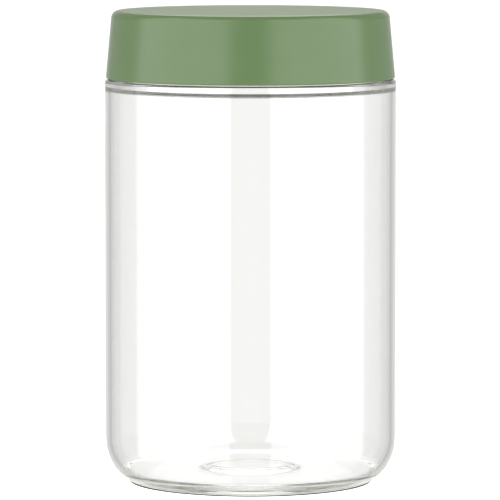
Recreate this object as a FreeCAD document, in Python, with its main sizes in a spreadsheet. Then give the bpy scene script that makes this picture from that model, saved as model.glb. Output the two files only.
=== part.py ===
import FreeCAD, Part
import math
import os

import Sketcher

# Clear glass wide-mouth jar with a double-wall screw lid.
# Millimetres. +Z is up, the origin is on the jar's axis at the plane it stands on.

DIMENSIONS = [
    # name, value, what it is
    ("body_radius", 47.5, "outside radius of the straight wall"),
    ("wall", 1.8, "thickness of the straight wall"),
    ("heel_side_radius", 16.05, "heel arc next to the wall"),
    ("heel_foot_radius", 5.2, "heel arc next to the foot"),
    ("heel_angle", 54.2, "degrees swept by the side arc"),
    ("inside_heel_angle", 37.2, "degrees swept by the side arc inside"),
    ("inside_foot_radius", 4.4, "arc next to the floor inside"),
    ("hollow_depth", 1.5, "hollow in the middle of the underside"),
    ("hollow_top_radius", 10.8, "flat top of that hollow"),
    ("hollow_foot_radius", 14.6, "where that hollow meets the standing ring"),
    ("kick_rise", 1.3, "raised middle of the floor inside"),
    ("kick_top_radius", 12.7, "flat top of the raised middle"),
    ("kick_foot_radius", 17.4, "foot of the raised middle"),
    ("base_rounding", 4.0, "bends of the hollow and of the raised middle"),
    ("shoulder_height", 131.9, "flat top of the shoulder"),
    ("shoulder_rounding", 1.2, "outside corner of the shoulder"),
    ("shoulder_glass", 2.9, "thickness of the shoulder"),
    ("shoulder_hollow", 1.0, "inside corner between wall and shoulder"),
    ("neck_radius", 41.4, "outside of the neck between threads"),
    ("neck_root_rounding", 0.5, "corner between shoulder and neck"),
    ("bore_radius", 39.2, "inside of the neck"),
    ("bore_flare", 0.3, "rounding from the bore into the shoulder"),
    ("rim_height", 150.0, "top of the rim"),
    ("rim_rounding", 0.9, "both edges of the rim"),
    ("thread_lead", 5.08, "rise in one turn"),
    ("thread_turns", 1.25, "turns of thread on jar and lid"),
    ("thread_start", 140.4, "middle of the jar thread at its lower end"),
    ("thread_radius", 42.5, "crest of the jar thread"),
    ("thread_crest", 1.2, "width of either thread at its crest"),
    ("thread_slope", 0.5, "half width gained per millimetre of depth"),
    ("thread_root", 0.2, "depth of a thread's foot inside its wall"),
    ("thread_offset", 1.8, "lid thread below the jar thread"),
    ("lid_top", 154.2, "top edge of the lid"),
    ("lid_bottom", 132.2, "bottom edge of the lid"),
    ("lid_top_radius", 45.2, "side of the lid carried up to its top"),
    ("lid_bottom_radius", 47.2, "side of the lid at its bottom"),
    ("lid_rounding", 2.4, "top edge of the lid"),
    ("lid_edge", 0.4, "rounding of the bottom edge"),
    ("dish_depth", 0.6, "shallow dish in the lid's top"),
    ("dish_radius", 40.0, "outside of the dish"),
    ("dish_floor_radius", 34.0, "flat middle of the dish"),
    ("shell_wall", 1.3, "side wall of the outer shell"),
    ("shell_top", 1.4, "top of the outer shell under the dish"),
    ("bead_height", 0.8, "top of the snap bead above the bottom edge"),
    ("bead_width", 0.6, "snap bead along the axis"),
    ("bead_reach", 0.35, "snap bead out of the shell's wall"),
    ("insert_radius", 43.9, "outside of the inner cap"),
    ("insert_bore", 42.8, "inside of the inner cap between threads"),
    ("insert_top", 1.2, "top plate of the inner cap"),
    ("insert_lead_in", 0.8, "chamfer at the inner cap's mouth"),
    ("insert_thread_radius", 41.7, "crest of the inner cap's thread"),
    ("flange_radius", 45.6, "flange that snaps behind the bead"),
    ("flange_height", 1.2, "flange along the axis"),
    ("rib_count", 12, "ribs between inner cap and shell"),
    ("rib_width", 1.2, "width of a rib"),
    ("rib_top", 150.5, "upper end of a rib"),
    ("rib_tip", 44.1, "outside of a rib at its upper end"),
    ("liner_radius", 42.4, "sealing disc"),
    ("liner_thickness", 1.0, "sealing disc"),
]

HEEL_R = "(dims.body_radius - dims.heel_side_radius)"
HEEL_Z = ("(dims.heel_foot_radius + (dims.heel_side_radius - dims.heel_foot_radius)"
          " * sin(dims.heel_angle * 1 deg))")
INSIDE_SIDE = "(dims.heel_side_radius - dims.wall)"
INSIDE_LEVER = "(dims.heel_side_radius - dims.wall - dims.inside_foot_radius)"
FLOOR_R = f"({HEEL_R} + {INSIDE_LEVER} * cos(dims.inside_heel_angle * 1 deg))"
FLOOR_Z = (f"({HEEL_Z} - {INSIDE_LEVER} * sin(dims.inside_heel_angle * 1 deg)"
           " - dims.inside_foot_radius)")
KICK_Z = f"({FLOOR_Z} + dims.kick_rise)"
INSIDE_WALL = "(dims.body_radius - dims.wall)"
UNDER_SHOULDER = "(dims.shoulder_height - dims.shoulder_glass)"
SHELL_CEILING = "(dims.lid_top - dims.dish_depth - dims.shell_top)"
INSERT_CEILING = f"({SHELL_CEILING} - dims.insert_top)"
INSERT_FLOOR = "(dims.lid_bottom + dims.bead_height)"
LID_TAPER = ("((dims.lid_bottom_radius - dims.lid_top_radius)"
             " / (dims.lid_top - dims.lid_bottom))")


def shell_bore(height):
    """Inside radius of the tapered shell at a height, as an expression."""
    return (f"(dims.lid_bottom_radius - dims.shell_wall"
            f" - {LID_TAPER} * ({height} - dims.lid_bottom))")


def make_sheet(doc):
    sheet = doc.addObject("Spreadsheet::Sheet", "dims")
    for row, (name, value, note) in enumerate(DIMENSIONS, start=1):
        sheet.set(f"A{row}", name)
        sheet.set(f"B{row}", str(value))
        sheet.setAlias(f"B{row}", name)
        sheet.set(f"C{row}", note)
    doc.recompute()
    return sheet


def new_body(doc, label):
    body = doc.addObject("PartDesign::Body", label)
    body.Label = label
    body.Placement = FreeCAD.Placement()
    return body


def new_sketch(body, name, role):
    """A sketch on one of the body's own origin planes."""
    sketch = body.newObject("Sketcher::SketchObject", name)
    for feature in body.Origin.OriginFeatures:
        if feature.Role == role:
            sketch.AttachmentSupport = [(feature, "")]
    sketch.MapMode = "FlatFace"
    return sketch


def arc_geometry(start, end, radius, turn):
    """Arc from start to end; turn is +1 anticlockwise and -1 clockwise."""
    middle = (start + end) * 0.5
    along = end - start
    reach = math.sqrt(max(radius ** 2 - (along.Length / 2) ** 2, 0.0))
    across = FreeCAD.Vector(-along.y, along.x, 0).normalize()
    centre = middle + across * (reach * turn)
    first, last = (start, end) if turn > 0 else (end, start)
    angles = [math.atan2(p.y - centre.y, p.x - centre.x) for p in (first, last)]
    circle = Part.Circle(centre, FreeCAD.Vector(0, 0, 1), radius)
    return Part.ArcOfCircle(circle, angles[0], angles[1])


def bind(sketch, constraint, name, expression):
    """Add a dimension to a sketch and bind it to the sheet."""
    index = sketch.addConstraint(constraint)
    sketch.renameConstraint(index, name)
    sketch.setExpression(f"Constraints.{name}", expression)


def pin_point(sketch, edge, end, name, across, up):
    """Hold a point at a radius and a height, both expressions of the sheet."""
    root, axis = (-1, 1), -2
    if across == "0":
        sketch.addConstraint(Sketcher.Constraint("PointOnObject", edge, end, axis))
    else:
        size = float(sketch.evalExpression(across))
        distance = Sketcher.Constraint("DistanceX", *root, edge, end, size)
        bind(sketch, distance, f"{name}_across", across)
    if up == "0":
        sketch.addConstraint(Sketcher.Constraint("PointOnObject", edge, end, -1))
    else:
        size = float(sketch.evalExpression(up))
        distance = Sketcher.Constraint("DistanceY", *root, edge, end, size)
        bind(sketch, distance, f"{name}_up", up)


def outline(body, name, corners):
    """Closed outline in the XZ plane.

    Each corner is (name, radius, height) or (name, radius, height, arc radius, turn), where the
    last two describe an arc from this corner to the next one.
    """
    sketch = new_sketch(body, name, "XZ_Plane")
    points = []
    for corner in corners:
        size = [float(sketch.evalExpression(text)) for text in corner[1:3]]
        points.append(FreeCAD.Vector(size[0], size[1], 0))
    ends = []
    for number, corner in enumerate(corners):
        start = points[number]
        end = points[(number + 1) % len(points)]
        if len(corner) == 3:
            edge = sketch.addGeometry(Part.LineSegment(start, end))
            ends.append((edge, 1, 2))
            continue
        radius = float(sketch.evalExpression(corner[3]))
        edge = sketch.addGeometry(arc_geometry(start, end, radius, corner[4]))
        ends.append((edge, 1, 2) if corner[4] > 0 else (edge, 2, 1))
    for number, corner in enumerate(corners):
        edge, first, _ = ends[number]
        before, _, last = ends[number - 1]
        sketch.addConstraint(Sketcher.Constraint("Coincident", before, last, edge, first))
        pin_point(sketch, edge, first, corner[0], corner[1], corner[2])
        if len(corner) > 3:
            radius = float(sketch.evalExpression(corner[3]))
            curve = Sketcher.Constraint("Radius", edge, radius)
            bind(sketch, curve, f"{corner[0]}_curve", corner[3])
    return sketch


def revolve(body, sketch, name):
    turned = body.newObject("PartDesign::Revolution", name)
    turned.Profile = sketch
    turned.ReferenceAxis = (sketch, ["V_Axis"])
    turned.Angle = 360
    body.Document.recompute()
    return turned


def thread(body, name, corners):
    """Add a right-hand thread whose section is drawn at its lower end."""
    section = outline(body, f"{name}_section", corners)
    ridge = body.newObject("PartDesign::AdditiveHelix", name)
    ridge.Profile = section
    ridge.ReferenceAxis = (section, ["V_Axis"])
    ridge.Mode = "pitch-turns-angle"
    ridge.setExpression("Pitch", "dims.thread_lead")
    ridge.setExpression("Turns", "dims.thread_turns")
    body.Document.recompute()
    return ridge


def edges_at(shape, radius, height):
    """Names of the round edges of a given radius at a given height."""
    names = []
    for number, edge in enumerate(shape.Edges, start=1):
        curve = edge.Curve
        if not isinstance(curve, Part.Circle):
            continue
        if abs(curve.Radius - radius) < 0.01 and abs(curve.Center.z - height) < 0.01:
            names.append(f"Edge{number}")
    return names


def round_edges(body, name, places, size):
    """Fillet the round edges found at each (radius, height)."""
    base = body.Tip
    names = []
    for radius, height in places:
        names += edges_at(base.Shape, radius, height)
    fillet = body.newObject("PartDesign::Fillet", name)
    fillet.Base = (base, names)
    fillet.setExpression("Radius", size)
    body.Document.recompute()
    return fillet


def make_jar_body(doc, sheet):
    body = new_body(doc, "jar_body")
    section = outline(body, "glass_section", [
        ("base_middle", "0", "dims.hollow_depth"),
        ("hollow_head", "dims.hollow_top_radius", "dims.hollow_depth"),
        ("hollow_foot", "dims.hollow_foot_radius", "0"),
        ("foot", f"{HEEL_R} + (dims.heel_side_radius - dims.heel_foot_radius)"
                 " * cos(dims.heel_angle * 1 deg)", "0", "dims.heel_foot_radius", 1),
        ("heel", f"{HEEL_R} + dims.heel_side_radius * cos(dims.heel_angle * 1 deg)",
                 f"{HEEL_Z} - dims.heel_side_radius * sin(dims.heel_angle * 1 deg)",
                 "dims.heel_side_radius", 1),
        ("wall_foot", "dims.body_radius", HEEL_Z),
        ("wall_head", "dims.body_radius", "dims.shoulder_height - dims.shoulder_rounding",
                      "dims.shoulder_rounding", 1),
        ("shoulder", "dims.body_radius - dims.shoulder_rounding", "dims.shoulder_height"),
        ("neck_root", "dims.neck_radius + dims.neck_root_rounding", "dims.shoulder_height",
                      "dims.neck_root_rounding", -1),
        ("neck_foot", "dims.neck_radius", "dims.shoulder_height + dims.neck_root_rounding"),
        ("neck_head", "dims.neck_radius", "dims.rim_height - dims.rim_rounding",
                      "dims.rim_rounding", 1),
        ("rim_outside", "dims.neck_radius - dims.rim_rounding", "dims.rim_height"),
        ("rim_inside", "dims.bore_radius + dims.rim_rounding", "dims.rim_height",
                       "dims.rim_rounding", 1),
        ("bore_head", "dims.bore_radius", "dims.rim_height - dims.rim_rounding"),
        ("bore_foot", "dims.bore_radius", f"{UNDER_SHOULDER} + dims.bore_flare",
                      "dims.bore_flare", 1),
        ("flare", "dims.bore_radius + dims.bore_flare", UNDER_SHOULDER),
        ("hollow_top", f"{INSIDE_WALL} - dims.shoulder_hollow", UNDER_SHOULDER,
                       "dims.shoulder_hollow", -1),
        ("hollow_side", INSIDE_WALL, f"{UNDER_SHOULDER} - dims.shoulder_hollow"),
        ("inside_wall_foot", INSIDE_WALL, HEEL_Z, INSIDE_SIDE, -1),
        ("inside_heel", f"{HEEL_R} + {INSIDE_SIDE} * cos(dims.inside_heel_angle * 1 deg)",
                        f"{HEEL_Z} - {INSIDE_SIDE} * sin(dims.inside_heel_angle * 1 deg)",
                        "dims.inside_foot_radius", -1),
        ("floor_edge", FLOOR_R, FLOOR_Z),
        ("kick_foot", "dims.kick_foot_radius", FLOOR_Z),
        ("kick_head", "dims.kick_top_radius", KICK_Z),
        ("floor_middle", "0", KICK_Z),
    ])
    revolve(body, section, "glass")
    floor = float(section.evalExpression(FLOOR_Z))
    bends = [(sheet.hollow_top_radius, sheet.hollow_depth), (sheet.hollow_foot_radius, 0),
             (sheet.kick_foot_radius, floor), (sheet.kick_top_radius, floor + sheet.kick_rise)]
    round_edges(body, "base_bends", bends, "dims.base_rounding")
    root = "dims.neck_radius - dims.thread_root"
    half_crest = "dims.thread_crest / 2"
    half_root = f"({half_crest} + dims.thread_slope * (dims.thread_radius - ({root})))"
    thread(body, "neck_thread", [
        ("low_root", root, f"dims.thread_start - {half_root}"),
        ("low_crest", "dims.thread_radius", f"dims.thread_start - {half_crest}"),
        ("high_crest", "dims.thread_radius", f"dims.thread_start + {half_crest}"),
        ("high_root", root, f"dims.thread_start + {half_root}"),
    ])
    return body


def make_lid_shell(doc, sheet):
    body = new_body(doc, "lid_shell")
    bead_low = "(dims.lid_bottom + dims.bead_height - dims.bead_width)"
    bead_mid = "(dims.lid_bottom + dims.bead_height - dims.bead_width / 2)"
    section = outline(body, "shell_section", [
        ("dish_middle", "0", "dims.lid_top - dims.dish_depth"),
        ("ceiling_middle", "0", SHELL_CEILING),
        ("ceiling_edge", shell_bore(SHELL_CEILING), SHELL_CEILING),
        ("bead_top", shell_bore(INSERT_FLOOR), INSERT_FLOOR),
        ("bead_tip", f"{shell_bore(bead_mid)} - dims.bead_reach", bead_mid),
        ("bead_foot", shell_bore(bead_low), bead_low),
        ("mouth_inside", shell_bore("dims.lid_bottom"), "dims.lid_bottom"),
        ("mouth_outside", "dims.lid_bottom_radius", "dims.lid_bottom"),
        ("top_edge", "dims.lid_top_radius", "dims.lid_top"),
        ("dish_edge", "dims.dish_radius", "dims.lid_top"),
        ("dish_floor", "dims.dish_floor_radius", "dims.lid_top - dims.dish_depth"),
    ])
    revolve(body, section, "shell")
    top_edge = [(sheet.lid_top_radius, sheet.lid_top)]
    round_edges(body, "top_rounding", top_edge, "dims.lid_rounding")
    bottom_edge = [(sheet.lid_bottom_radius, sheet.lid_bottom)]
    round_edges(body, "mouth_rounding", bottom_edge, "dims.lid_edge")
    return body


def add_ribs(body):
    """Ribs that keep the inner cap from turning in the shell."""
    doc = body.Document
    flange_top = f"{INSERT_FLOOR} + dims.flange_height"
    foot = "dims.insert_radius - dims.thread_root"
    section = outline(body, "rib_section", [
        ("rib_low", foot, flange_top),
        ("rib_low_tip", "dims.flange_radius", flange_top),
        ("rib_high_tip", "dims.rib_tip", "dims.rib_top"),
        ("rib_high", foot, "dims.rib_top"),
    ])
    rib = body.newObject("PartDesign::Pad", "rib")
    rib.Profile = section
    rib.Midplane = True
    rib.setExpression("Length", "dims.rib_width")
    doc.recompute()
    ribs = body.newObject("PartDesign::PolarPattern", "ribs")
    ribs.Originals = [rib]
    ribs.Axis = (section, ["V_Axis"])
    ribs.Angle = 360
    ribs.setExpression("Occurrences", "dims.rib_count")
    body.Tip = ribs
    doc.recompute()


def make_lid_insert(doc):
    body = new_body(doc, "lid_insert")
    flange_top = f"{INSERT_FLOOR} + dims.flange_height"
    section = outline(body, "insert_section", [
        ("top_middle", "0", SHELL_CEILING),
        ("ceiling_middle", "0", INSERT_CEILING),
        ("ceiling_edge", "dims.insert_bore", INSERT_CEILING),
        ("lead_in_top", "dims.insert_bore", f"{INSERT_FLOOR} + dims.insert_lead_in"),
        ("lead_in_foot", "dims.insert_bore + dims.insert_lead_in", INSERT_FLOOR),
        ("flange_foot", "dims.flange_radius", INSERT_FLOOR),
        ("flange_head", "dims.flange_radius", flange_top),
        ("wall_foot", "dims.insert_radius", flange_top),
        ("top_edge", "dims.insert_radius", SHELL_CEILING),
    ])
    revolve(body, section, "inner_cap")
    root = "(dims.insert_bore + dims.thread_root)"
    middle = "(dims.thread_start - dims.thread_offset)"
    half_crest = "dims.thread_crest / 2"
    half_root = f"({half_crest} + dims.thread_slope * ({root} - dims.insert_thread_radius))"
    thread(body, "cap_thread", [
        ("low_crest", "dims.insert_thread_radius", f"{middle} - {half_crest}"),
        ("low_root", root, f"{middle} - {half_root}"),
        ("high_root", root, f"{middle} + {half_root}"),
        ("high_crest", "dims.insert_thread_radius", f"{middle} + {half_crest}"),
    ])
    add_ribs(body)
    return body


def make_lid_liner(doc):
    disc = doc.addObject("Part::Cylinder", "lid_liner")
    disc.Label = "lid_liner"
    disc.setExpression("Radius", "dims.liner_radius")
    disc.setExpression("Height", "dims.liner_thickness")
    disc.setExpression("Placement.Base.z", "dims.rim_height")
    return disc


def check(doc, pieces):
    """Stop before anything is written if an object failed or a shape is not sound."""
    for thing in doc.Objects:
        if "Invalid" in thing.State or "Error" in thing.State:
            raise RuntimeError(f"{thing.Name} failed: {thing.State}")
    for piece in pieces:
        if piece.Shape.isNull() or not piece.Shape.isValid():
            raise RuntimeError(f"{piece.Label} has no sound shape")


def main():
    doc = FreeCAD.newDocument("jar")
    sheet = make_sheet(doc)
    pieces = [
        make_jar_body(doc, sheet),
        make_lid_shell(doc, sheet),
        make_lid_insert(doc),
        make_lid_liner(doc),
    ]
    doc.recompute()
    check(doc, pieces)
    os.makedirs("parts", exist_ok=True)
    for piece in pieces:
        piece.Shape.exportStep(f"parts/{piece.Label}.step")
        volume = piece.Shape.Volume / 1000
        print(f"{piece.Label}: {volume:.2f} cm3, {len(piece.Shape.Solids)} solid")


main()
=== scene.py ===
from math import atan2, cos, hypot, pi, radians, sin

import bmesh
import bpy
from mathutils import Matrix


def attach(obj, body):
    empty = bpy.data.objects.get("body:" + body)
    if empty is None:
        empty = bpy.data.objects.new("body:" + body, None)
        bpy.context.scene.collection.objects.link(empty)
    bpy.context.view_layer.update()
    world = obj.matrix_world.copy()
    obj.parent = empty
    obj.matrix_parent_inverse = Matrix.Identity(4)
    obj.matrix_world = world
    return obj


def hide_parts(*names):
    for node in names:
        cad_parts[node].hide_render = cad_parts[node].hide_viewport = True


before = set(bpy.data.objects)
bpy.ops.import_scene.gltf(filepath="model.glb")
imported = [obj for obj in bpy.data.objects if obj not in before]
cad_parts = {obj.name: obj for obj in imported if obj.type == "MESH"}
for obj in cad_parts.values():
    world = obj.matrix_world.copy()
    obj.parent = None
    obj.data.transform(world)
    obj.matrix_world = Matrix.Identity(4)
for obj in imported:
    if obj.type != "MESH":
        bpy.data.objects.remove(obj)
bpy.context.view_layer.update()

# Sizes in metres, the same as the model's.
MM = 0.001
BODY_R = 47.5 * MM
WALL = 1.8 * MM
HEEL_SIDE = 16.05 * MM
HEEL_FOOT = 5.2 * MM
HEEL_ANGLE = 54.2
INSIDE_HEEL_ANGLE = 37.2
INSIDE_FOOT = 4.4 * MM
KICK_RISE = 1.3 * MM
KICK_TOP_R = 12.7 * MM
KICK_FOOT_R = 17.4 * MM
HOLLOW_DEPTH = 1.5 * MM
HOLLOW_TOP_R = 10.8 * MM
HOLLOW_FOOT_R = 14.6 * MM
SHOULDER_Z = 131.9 * MM
SHOULDER_ROUND = 1.2 * MM
SHOULDER_GLASS = 2.9 * MM
SHOULDER_HOLLOW = 1.0 * MM
NECK_R = 41.4 * MM
NECK_ROOT = 0.5 * MM
BORE_R = 39.2 * MM
BORE_FLARE = 0.3 * MM
RIM_Z = 150.0 * MM
RIM_ROUND = 0.9 * MM
LEAD = 5.08 * MM
THREAD_TURNS = 1.25
THREAD_START = 140.4 * MM
THREAD_R = 42.5 * MM
THREAD_CREST = 1.2 * MM
THREAD_SLOPE = 0.5
THREAD_OFFSET = 1.8 * MM
LID_TOP = 154.2 * MM
LID_BOTTOM = 132.2 * MM
LID_TOP_R = 45.2 * MM
LID_BOTTOM_R = 47.2 * MM
LID_ROUND = 2.4 * MM
LID_EDGE = 0.4 * MM
DISH_DEPTH = 0.6 * MM
DISH_R = 40.0 * MM
DISH_FLOOR_R = 34.0 * MM
SHELL_WALL = 1.3 * MM
SHELL_TOP = 1.4 * MM
INSERT_R = 43.9 * MM
INSERT_BORE = 42.8 * MM
INSERT_TOP = 1.2 * MM
INSERT_THREAD_R = 41.7 * MM
FLANGE_R = 45.6 * MM
FLANGE = 1.2 * MM
LEAD_IN = 0.8 * MM
BEAD = 0.8 * MM
BEAD_REACH = 0.35 * MM
BEAD_WIDTH = 0.6 * MM
RIB_COUNT = 12
RIB_WIDTH = 1.2 * MM
RIB_TOP = 150.5 * MM
RIB_TIP = 44.1 * MM
LINER_R = 42.4 * MM
LINER = 1.0 * MM

TURN_STEPS = 288

# The studio. Angles are degrees round from the front.
LIGHT_FROM = 17
LIGHT_TO = 100
LIGHT = 2.6
STUDIO_BLUE = 0.98  # blue in the light, against its red and green
LAMP_BLUE = 0.9


# ---------------------------------------------------------------- mesh tools

def arc(centre, radius, start, end, steps=8):
    """Points along an arc in the (radius, height) plane, angles in degrees."""
    points = []
    for k in range(steps + 1):
        angle = radians(start + (end - start) * k / steps)
        points.append((centre[0] + radius * cos(angle), centre[1] + radius * sin(angle)))
    return points


def run(start, end, hold=0.3 * MM, step=6 * MM):
    """Points between two corners: one close to each end, and evenly spaced ones between."""
    length = hypot(end[0] - start[0], end[1] - start[1])
    if length < 3 * hold:
        return []
    stops = [hold / length]
    count = int(length / step)
    stops += [k / count for k in range(1, count) if hold < k / count * length < length - hold]
    stops.append(1 - hold / length)
    return [(start[0] + (end[0] - start[0]) * t, start[1] + (end[1] - start[1]) * t)
            for t in stops]


def outline(*parts):
    """Joins arcs and single corners into one list of points, with held runs between them."""
    points = []
    for part in parts:
        part = part if isinstance(part, list) else [part]
        if points and hypot(points[-1][0] - part[0][0], points[-1][1] - part[0][1]) > 1e-7:
            points += run(points[-1], part[0])
        elif points:
            part = part[1:]
        points += part
    return points


def slope(start, end, steps=12):
    """Points down a smooth S-shaped flank between two levels."""
    points = []
    for k in range(steps + 1):
        share = k / steps
        ease = share * share * (3 - 2 * share)
        points.append((start[0] + (end[0] - start[0]) * share,
                       start[1] + (end[1] - start[1]) * ease))
    return points


def lathe(name, points, shape=None, steps=TURN_STEPS):
    """Turns an outline about the Z axis. The outline starts and ends on the axis, or is closed.

    shape(radius, height, angle) may move a point of the surface, and returns its new radius.
    """
    mesh = bpy.data.meshes.new(name)
    piece = bpy.data.objects.new(name, mesh)
    bpy.context.scene.collection.objects.link(piece)
    form = bmesh.new()
    rings = []
    for radius, height in points:
        if radius < 1e-7:
            rings.append([form.verts.new((0, 0, height))])
            continue
        ring = []
        for k in range(steps):
            angle = 2 * pi * k / steps
            here = shape(radius, height, angle) if shape else radius
            ring.append(form.verts.new((here * cos(angle), here * sin(angle), height)))
        rings.append(ring)
    closed = len(rings[0]) > 1
    pairs = list(zip(rings, rings[1:]))
    if closed:
        pairs.append((rings[-1], rings[0]))
    for low, high in pairs:
        for k in range(steps):
            after = (k + 1) % steps
            corners = [low[k % len(low)], low[after % len(low)],
                       high[after % len(high)], high[k % len(high)]]
            unique = list(dict.fromkeys(corners))
            if len(unique) > 2:
                form.faces.new(unique)
    bmesh.ops.recalc_face_normals(form, faces=form.faces)
    for face in form.faces:
        face.smooth = True
    form.to_mesh(mesh)
    form.free()
    return piece


def ridge(height, angle, start, depth):
    """How far a thread of that depth stands out at a height and angle."""
    best = 0.0
    half_foot = THREAD_CREST / 2 + THREAD_SLOPE * depth
    fade = radians(25)
    whole = 2 * pi * THREAD_TURNS
    for turn in range(int(THREAD_TURNS) + 1):
        swept = angle + 2 * pi * turn
        if swept > whole:
            continue
        off = abs(height - start - LEAD * swept / (2 * pi))
        ends = min(1.0, swept / fade, (whole - swept) / fade)
        reach = min(1.0, max(0.0, (half_foot - off) / (THREAD_SLOPE * depth)))
        reach = reach * reach * (3 - 2 * reach)
        best = max(best, depth * reach * ends)
    return best


# ---------------------------------------------------------------- pieces

def glass_outline():
    heel = (BODY_R - HEEL_SIDE, HEEL_FOOT + (HEEL_SIDE - HEEL_FOOT) * sin(radians(HEEL_ANGLE)))
    lever = HEEL_SIDE - HEEL_FOOT
    foot = (heel[0] + lever * cos(radians(HEEL_ANGLE)), HEEL_FOOT)
    side = HEEL_SIDE - WALL
    lever = side - INSIDE_FOOT
    corner = (heel[0] + lever * cos(radians(INSIDE_HEEL_ANGLE)),
              heel[1] - lever * sin(radians(INSIDE_HEEL_ANGLE)))
    floor = corner[1] - INSIDE_FOOT
    under = SHOULDER_Z - SHOULDER_GLASS
    inside = BODY_R - WALL
    step = 0.2 * MM
    neck_foot = SHOULDER_Z + NECK_ROOT
    neck_steps = int((RIM_Z - RIM_ROUND - neck_foot) / step)
    neck = [(NECK_R, neck_foot + k * step) for k in range(1, neck_steps)]
    return outline(
        (0, HOLLOW_DEPTH),
        slope((HOLLOW_TOP_R, HOLLOW_DEPTH), (HOLLOW_FOOT_R, 0)),
        arc(foot, HEEL_FOOT, -90, -HEEL_ANGLE, 10),
        arc(heel, HEEL_SIDE, -HEEL_ANGLE, 0, 20),
        arc((BODY_R - SHOULDER_ROUND, SHOULDER_Z - SHOULDER_ROUND), SHOULDER_ROUND, 0, 90, 14),
        arc((NECK_R + NECK_ROOT, SHOULDER_Z + NECK_ROOT), NECK_ROOT, 270, 180, 6),
        neck,
        arc((NECK_R - RIM_ROUND, RIM_Z - RIM_ROUND), RIM_ROUND, 0, 90, 8),
        arc((BORE_R + RIM_ROUND, RIM_Z - RIM_ROUND), RIM_ROUND, 90, 180, 8),
        arc((BORE_R + BORE_FLARE, under + BORE_FLARE), BORE_FLARE, 180, 270, 10),
        arc((inside - SHOULDER_HOLLOW, under - SHOULDER_HOLLOW), SHOULDER_HOLLOW, 90, 0, 14),
        arc(heel, side, 0, -INSIDE_HEEL_ANGLE, 14),
        arc(corner, INSIDE_FOOT, -INSIDE_HEEL_ANGLE, -90, 12),
        slope((KICK_FOOT_R, floor), (KICK_TOP_R, floor + KICK_RISE)),
        (0, floor + KICK_RISE),
    )


def make_jar():
    def neck_thread(radius, height, angle):
        if abs(radius - NECK_R) > 1e-7 or height < SHOULDER_Z:
            return radius
        return radius + ridge(height, angle, THREAD_START, THREAD_R - NECK_R)

    return lathe("glass_jar", glass_outline(), neck_thread)


def lid_side(height):
    """Radius of the lid's tapered side at a height."""
    share = (height - LID_BOTTOM) / (LID_TOP - LID_BOTTOM)
    return LID_BOTTOM_R + (LID_TOP_R - LID_BOTTOM_R) * share


def make_lid_shell():
    taper = atan2(LID_BOTTOM_R - LID_TOP_R, LID_TOP - LID_BOTTOM)
    lean = taper * 180 / pi
    top_centre_z = LID_TOP - LID_ROUND
    top_centre = (lid_side(top_centre_z) - LID_ROUND / cos(taper), top_centre_z)
    edge_z = LID_BOTTOM + LID_EDGE
    edge_centre = (lid_side(edge_z) - LID_EDGE / cos(taper), edge_z)
    ceiling = LID_TOP - DISH_DEPTH - SHELL_TOP
    floor = LID_BOTTOM + BEAD
    nick = 0.1 * MM
    return lathe("lid_outer_cap", outline(
        (0, ceiling),
        (lid_side(ceiling) - SHELL_WALL, ceiling),
        (lid_side(floor) - SHELL_WALL, floor),
        (lid_side(floor) - SHELL_WALL - BEAD_REACH, floor - BEAD_WIDTH / 2),
        (lid_side(floor) - SHELL_WALL, floor - BEAD_WIDTH),
        (lid_side(LID_BOTTOM) - SHELL_WALL, LID_BOTTOM + nick),
        (lid_side(LID_BOTTOM) - SHELL_WALL + nick, LID_BOTTOM),
        arc(edge_centre, LID_EDGE, -90, lean, 8),
        arc(top_centre, LID_ROUND, lean, 90, 16),
        slope((DISH_R, LID_TOP), (DISH_FLOOR_R, LID_TOP - DISH_DEPTH)),
        (0, LID_TOP - DISH_DEPTH),
    ))


def make_lid_insert():
    ceiling = LID_TOP - DISH_DEPTH - SHELL_TOP
    inside = ceiling - INSERT_TOP
    floor = LID_BOTTOM + BEAD
    nick = 0.1 * MM
    start = THREAD_START - THREAD_OFFSET
    low = floor + LEAD_IN
    high = inside - 3 * nick
    bore = [(INSERT_BORE, low + (high - low) * k / 80) for k in range(81)]

    def cap_thread(radius, height, angle):
        if abs(radius - INSERT_BORE) > 1e-7 or height > inside - nick:
            return radius
        return radius - ridge(height, angle, start, INSERT_BORE - INSERT_THREAD_R)

    cap = lathe("lid_inner_cap", outline(
        (0, inside),
        (INSERT_BORE - 3 * nick, inside),
        bore[::-1],
        (INSERT_BORE + LEAD_IN, floor),
        (FLANGE_R - nick, floor),
        (FLANGE_R, floor + nick),
        (FLANGE_R, floor + FLANGE),
        (INSERT_R, floor + FLANGE),
        (INSERT_R, ceiling),
        (0, ceiling),
    ), cap_thread)
    add_ribs(cap, floor + FLANGE)
    return cap


def add_ribs(cap, foot):
    """Ribs round the inner cap, from its flange nearly to its top."""
    sunk = 0.2 * MM
    inside = INSERT_R - sunk
    section = [(inside, foot - sunk), (FLANGE_R, foot - sunk), (FLANGE_R, foot),
               (RIB_TIP, RIB_TOP), (inside, RIB_TOP)]
    form = bmesh.new()
    form.from_mesh(cap.data)
    for number in range(RIB_COUNT):
        angle = 2 * pi * number / RIB_COUNT
        sides = []
        for half in (-RIB_WIDTH / 2, RIB_WIDTH / 2):
            sides.append([form.verts.new((r * cos(angle) - half * sin(angle),
                                          r * sin(angle) + half * cos(angle), z))
                          for r, z in section])
        near, far = sides
        faces = [form.faces.new(near), form.faces.new(far[::-1])]
        for k in range(len(section)):
            after = (k + 1) % len(section)
            faces.append(form.faces.new((near[k], far[k], far[after], near[after])))
        bmesh.ops.recalc_face_normals(form, faces=faces)
    form.to_mesh(cap.data)
    form.free()


def make_liner():
    edge = 0.25 * MM
    top = RIM_Z + LINER
    return lathe("sealing_liner", outline(
        (0, RIM_Z),
        arc((LINER_R - edge, RIM_Z + edge), edge, -90, 0, 4),
        arc((LINER_R - edge, top - edge), edge, 0, 90, 4),
        (0, top),
    ))


# ---------------------------------------------------------------- materials

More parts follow.
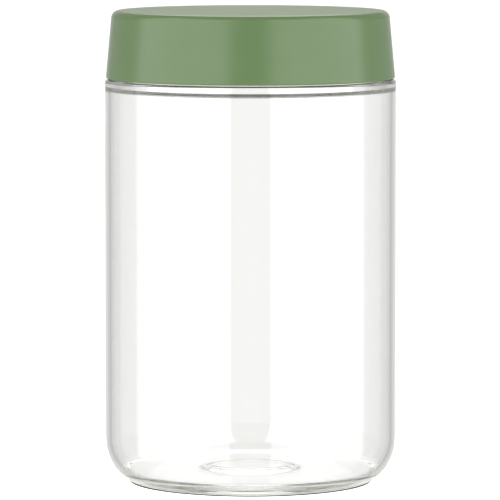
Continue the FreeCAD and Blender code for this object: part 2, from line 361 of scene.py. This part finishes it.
def new_material(name):
    material = bpy.data.materials.new(name)
    material.use_nodes = True
    nodes = material.node_tree.nodes
    return material, nodes, material.node_tree.links, nodes["Principled BSDF"]


def noise(nodes, links, size, detail=2.0):
    """Soft noise whose lumps are about that many metres across, on the piece's own coordinates."""
    place = nodes.new("ShaderNodeTexCoord")
    lumps = nodes.new("ShaderNodeTexNoise")
    lumps.inputs["Scale"].default_value = 1 / size
    lumps.inputs["Detail"].default_value = detail
    links.new(place.outputs["Object"], lumps.inputs["Vector"])
    return lumps.outputs["Fac"]


def spread(nodes, links, value, low, high):
    """The noise turned into a value between two levels."""
    level = nodes.new("ShaderNodeMapRange")
    level.inputs["From Min"].default_value = 0.3
    level.inputs["From Max"].default_value = 0.7
    level.inputs["To Min"].default_value = low
    level.inputs["To Max"].default_value = high
    links.new(value, level.inputs["Value"])
    return level.outputs["Result"]


def tint(nodes, links, value, colour, amount):
    """The colour, a little darker or lighter with the noise."""
    mix = nodes.new("ShaderNodeMix")
    mix.data_type = "RGBA"
    links.new(spread(nodes, links, value, 0, 1), mix.inputs["Factor"])
    mix.inputs["A"].default_value = (*[c * (1 - amount) for c in colour], 1)
    mix.inputs["B"].default_value = (*[c * (1 + amount) for c in colour], 1)
    return mix.outputs["Result"]


def bump(nodes, links, value, depth, under=None):
    """Relief of that depth in metres, over another relief if there is one."""
    relief = nodes.new("ShaderNodeBump")
    relief.inputs["Distance"].default_value = depth
    links.new(value, relief.inputs["Height"])
    if under:
        links.new(under, relief.inputs["Normal"])
    return relief.outputs["Normal"]


def clear_glass():
    """Polished glass with the faint waviness of a blown wall."""
    material, nodes, links, shader = new_material("clear_glass")
    wave = bump(nodes, links, noise(nodes, links, 30 * MM, 1.0), 0.02 * MM)
    links.new(wave, shader.inputs["Normal"])
    shader.inputs["Base Color"].default_value = (1, 1, 1, 1)
    shader.inputs["Roughness"].default_value = 0.0
    shader.inputs["IOR"].default_value = 1.5
    shader.inputs["Transmission Weight"].default_value = 1.0
    depth = nodes.new("ShaderNodeVolumeAbsorption")
    depth.inputs["Color"].default_value = (0.42, 0.5, 0.0, 1)
    depth.inputs["Density"].default_value = 0.7
    links.new(depth.outputs[0], nodes["Material Output"].inputs["Volume"])
    return material


def duller_top(nodes, links, gloss):
    """Flat tops come out of the mould a little duller than drafted sides."""
    place = nodes.new("ShaderNodeTexCoord")
    split = nodes.new("ShaderNodeSeparateXYZ")
    links.new(place.outputs["Normal"], split.inputs[0])
    extra = nodes.new("ShaderNodeMapRange")
    extra.inputs["From Min"].default_value = 0.9
    extra.inputs["From Max"].default_value = 1.0
    extra.inputs["To Max"].default_value = 0.15
    links.new(split.outputs["Z"], extra.inputs["Value"])
    total = nodes.new("ShaderNodeMath")
    total.operation = "ADD"
    links.new(gloss, total.inputs[0])
    links.new(extra.outputs["Result"], total.inputs[1])
    return total.outputs[0]


def satin_plastic(name, colour, roughness):
    """Moulded plastic: fine spark-eroded grain, slow sink waves, uneven pigment and gloss."""
    material, nodes, links, shader = new_material(name)
    pigment = tint(nodes, links, noise(nodes, links, 9 * MM, 4.0), colour, 0.02)
    links.new(pigment, shader.inputs["Base Color"])
    gloss = spread(nodes, links, noise(nodes, links, 6 * MM, 2.0), roughness - 0.02, roughness + 0.02)
    links.new(duller_top(nodes, links, gloss), shader.inputs["Roughness"])
    sink = bump(nodes, links, noise(nodes, links, 25 * MM, 1.0), 0.02 * MM)
    grain = bump(nodes, links, noise(nodes, links, 0.6 * MM, 1.0), 0.002 * MM, sink)
    links.new(grain, shader.inputs["Normal"])
    shader.inputs["IOR"].default_value = 1.5
    return material


def foam_sheet(name, colour):
    """Fine closed-cell foam: small rounded cells and a mottled, dull skin."""
    material, nodes, links, shader = new_material(name)
    place = nodes.new("ShaderNodeTexCoord")
    cells = nodes.new("ShaderNodeTexVoronoi")
    cells.inputs["Scale"].default_value = 1 / (0.6 * MM)
    links.new(place.outputs["Object"], cells.inputs["Vector"])
    skin = tint(nodes, links, noise(nodes, links, 4 * MM, 3.0), colour, 0.12)
    links.new(skin, shader.inputs["Base Color"])
    gloss = spread(nodes, links, noise(nodes, links, 1.5 * MM), 0.72, 0.88)
    links.new(gloss, shader.inputs["Roughness"])
    relief = bump(nodes, links, cells.outputs["Distance"], 0.04 * MM)
    links.new(relief, shader.inputs["Normal"])
    return material


# ---------------------------------------------------------------- studio

def make_world():
    """A pale studio, as levels of light by degrees round from the front, the same on both sides.

    Two wide soft lights stand in front, from 17 to 100 degrees, with a gap between them. The wall
    behind darkens towards its corners and rises again at the back, and a lamp hangs high behind.
    The lights' edges follow the light bands that the glass and the lid show. The levels are round
    values, adjusted by comparing trial renders.
    """
    world = bpy.data.worlds.new("studio")
    bpy.context.scene.world = world
    world.use_nodes = True
    nodes, links = world.node_tree.nodes, world.node_tree.links
    nodes.clear()
    place = nodes.new("ShaderNodeTexCoord")
    split = nodes.new("ShaderNodeSeparateXYZ")
    links.new(place.outputs["Generated"], split.inputs[0])

    def calculate(operation, a, b=None):
        node = nodes.new("ShaderNodeMath")
        node.operation = operation
        for socket, value in zip(node.inputs, (a, b)):
            if value is None:
                continue
            if isinstance(value, (int, float)):
                socket.default_value = value
            else:
                links.new(value, socket)
        return node.outputs[0]

    side = calculate("ABSOLUTE", split.outputs["X"])
    front = calculate("MULTIPLY", split.outputs["Y"], -1.0)
    azimuth = calculate("ARCTAN2", side, front)
    turn = calculate("DIVIDE", azimuth, pi)
    rise = calculate("ARCSINE", split.outputs["Z"])

    def by_azimuth(stops, blue=STUDIO_BLUE):
        node = nodes.new("ShaderNodeValToRGB")
        links.new(turn, node.inputs["Fac"])
        table = node.color_ramp
        while len(table.elements) > 1:
            table.elements.remove(table.elements[-1])
        table.elements[0].position = 0
        for number, (degrees, level) in enumerate(stops):
            element = table.elements[0] if number == 0 else table.elements.new(degrees / 180)
            element.color = (level, level, blue * level, 1)
        return node.outputs["Color"]

    def blend(low, high, start, end):
        share = nodes.new("ShaderNodeMapRange")
        share.interpolation_type = "SMOOTHSTEP"
        share.inputs["From Min"].default_value = radians(start)
        share.inputs["From Max"].default_value = radians(end)
        links.new(rise, share.inputs["Value"])
        mix = nodes.new("ShaderNodeMix")
        mix.data_type = "RGBA"
        links.new(share.outputs["Result"], mix.inputs["Factor"])
        links.new(low, mix.inputs["A"])
        links.new(high, mix.inputs["B"])
        return mix.outputs["Result"]

    def ring(gap, *behind, blue=STUDIO_BLUE):
        return by_azimuth([(0, gap), (LIGHT_FROM - 1, gap), (LIGHT_FROM, LIGHT), (LIGHT_TO, LIGHT),
                           *behind], blue)

    below = by_azimuth([(0, 1.2), (LIGHT_TO, 1.2), (104, 1.0), (150, 0.5), (180, 1.1)])
    eye_level = ring(1.1, (104, 1.0), (150, 0.5), (180, 0.9))
    low = ring(0.6, (104, 0.5), (150, 0.4), (180, 0.9))
    high = ring(0.6, (104, 0.5), (180, 0.4))
    lamp = ring(0.6, (104, 0.5), (162, 0.5), (168, 3.8), (180, 3.8), blue=LAMP_BLUE)
    above = by_azimuth([(0, 0.5)])
    around = blend(blend(below, eye_level, -30, -12), low, -1, 5)
    around = blend(blend(around, high, 12, 16), lamp, 24, 30)
    around = blend(around, above, 50, 60)
    sky = nodes.new("ShaderNodeBackground")
    links.new(around, sky.inputs["Color"])
    seen = nodes.new("ShaderNodeBackground")
    seen.inputs["Color"].default_value = (1, 1, 1, 1)
    seen.inputs["Strength"].default_value = 1.1
    path = nodes.new("ShaderNodeLightPath")
    mix = nodes.new("ShaderNodeMixShader")
    links.new(path.outputs["Is Camera Ray"], mix.inputs[0])
    links.new(sky.outputs[0], mix.inputs[1])
    links.new(seen.outputs[0], mix.inputs[2])
    out = nodes.new("ShaderNodeOutputWorld")
    links.new(mix.outputs[0], out.inputs["Surface"])


def floor_piece(name, inner, outer, drop, pale, glow):
    """A flat ring of table that gives off its own even light, as much as glow says; with a near-black
    colour and no glow it is a ring of painted shadow.
    """
    thick = 4 * MM
    if inner:
        section = outline((inner, 0), (outer, 0), (outer, -thick), (inner, -thick))
    else:
        section = outline((0, 0), (outer, 0), (outer, -thick), (0, -thick))
    piece = lathe(name, section, steps=96)
    material, nodes, links, shader = new_material(name + "_surface")
    shader.inputs["Base Color"].default_value = (pale, pale, pale, 1)
    shader.inputs["Roughness"].default_value = 1.0
    shader.inputs["Specular IOR Level"].default_value = 0.0
    shader.inputs["Emission Color"].default_value = (1, 1, 1, 1)
    shader.inputs["Emission Strength"].default_value = glow
    piece.data.materials.append(material)
    piece.location.z = -drop
    return piece


def make_floor():
    """A wide pale floor, the part of it seen through the base, and a thin near-black ring at the
    jar's foot that only the camera sees: a painted shadow.
    """
    floor = floor_piece("floor", 0, 2.6 * BODY_R, 0.08 * MM, 0.8, 0.7)
    floor.visible_glossy = False
    floor.visible_transmission = False
    under = floor_piece("floor_under", 0, 0.9 * BODY_R, 0.05 * MM, 0.1, 0.93)
    under.visible_camera = False
    # Painted shadow: a near-black ring on the floor round the jar's foot, seen only by the camera and
    # casting nothing.
    painted_shadow = floor_piece("floor_painted_contact_shadow", 37.0 * MM, 39.7 * MM, 0.03 * MM, 0.01, 0.0)
    painted_shadow.visible_glossy = False
    painted_shadow.visible_transmission = False
    painted_shadow.visible_diffuse = False
    painted_shadow.visible_shadow = False


def make_camera():
    """Looks down at the jar by a few degrees through a long lens."""
    pitch = radians(5.28)
    distance = 32.18 * BODY_R
    aim = 1.5937 * BODY_R
    data = bpy.data.cameras.new("camera")
    data.sensor_width = 36
    data.lens = 335.95
    data.clip_start = 0.05
    camera = bpy.data.objects.new("camera", data)
    camera.location = (-0.16 * MM, -distance * cos(pitch), aim + distance * sin(pitch))
    camera.rotation_euler = (pi / 2 - pitch, 0, 0)
    bpy.context.scene.collection.objects.link(camera)
    bpy.context.scene.camera = camera


def set_view():
    scene = bpy.context.scene
    scene.view_settings.view_transform = "Standard"
    scene.cycles.use_denoising = True
    scene.cycles.max_bounces = 64
    scene.cycles.transmission_bounces = 64
    scene.cycles.glossy_bounces = 64
    scene.cycles.diffuse_bounces = 4


def finish_piece(piece, material, body, node):
    piece.data.materials.append(material)
    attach(piece, body)
    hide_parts(node)


make_camera()
set_view()
make_world()
make_floor()
sage = satin_plastic("sage_plastic", (0.0765, 0.1305, 0.0513), 0.25)
inner = satin_plastic("inner_plastic", (0.075, 0.11, 0.05), 0.3)
foam = foam_sheet("liner_foam", (0.09, 0.095, 0.07))
finish_piece(make_jar(), clear_glass(), "jar", "jar_body")
finish_piece(make_lid_shell(), sage, "lid", "lid_shell")
finish_piece(make_lid_insert(), inner, "lid", "lid_insert")
finish_piece(make_liner(), foam, "liner", "lid_liner")
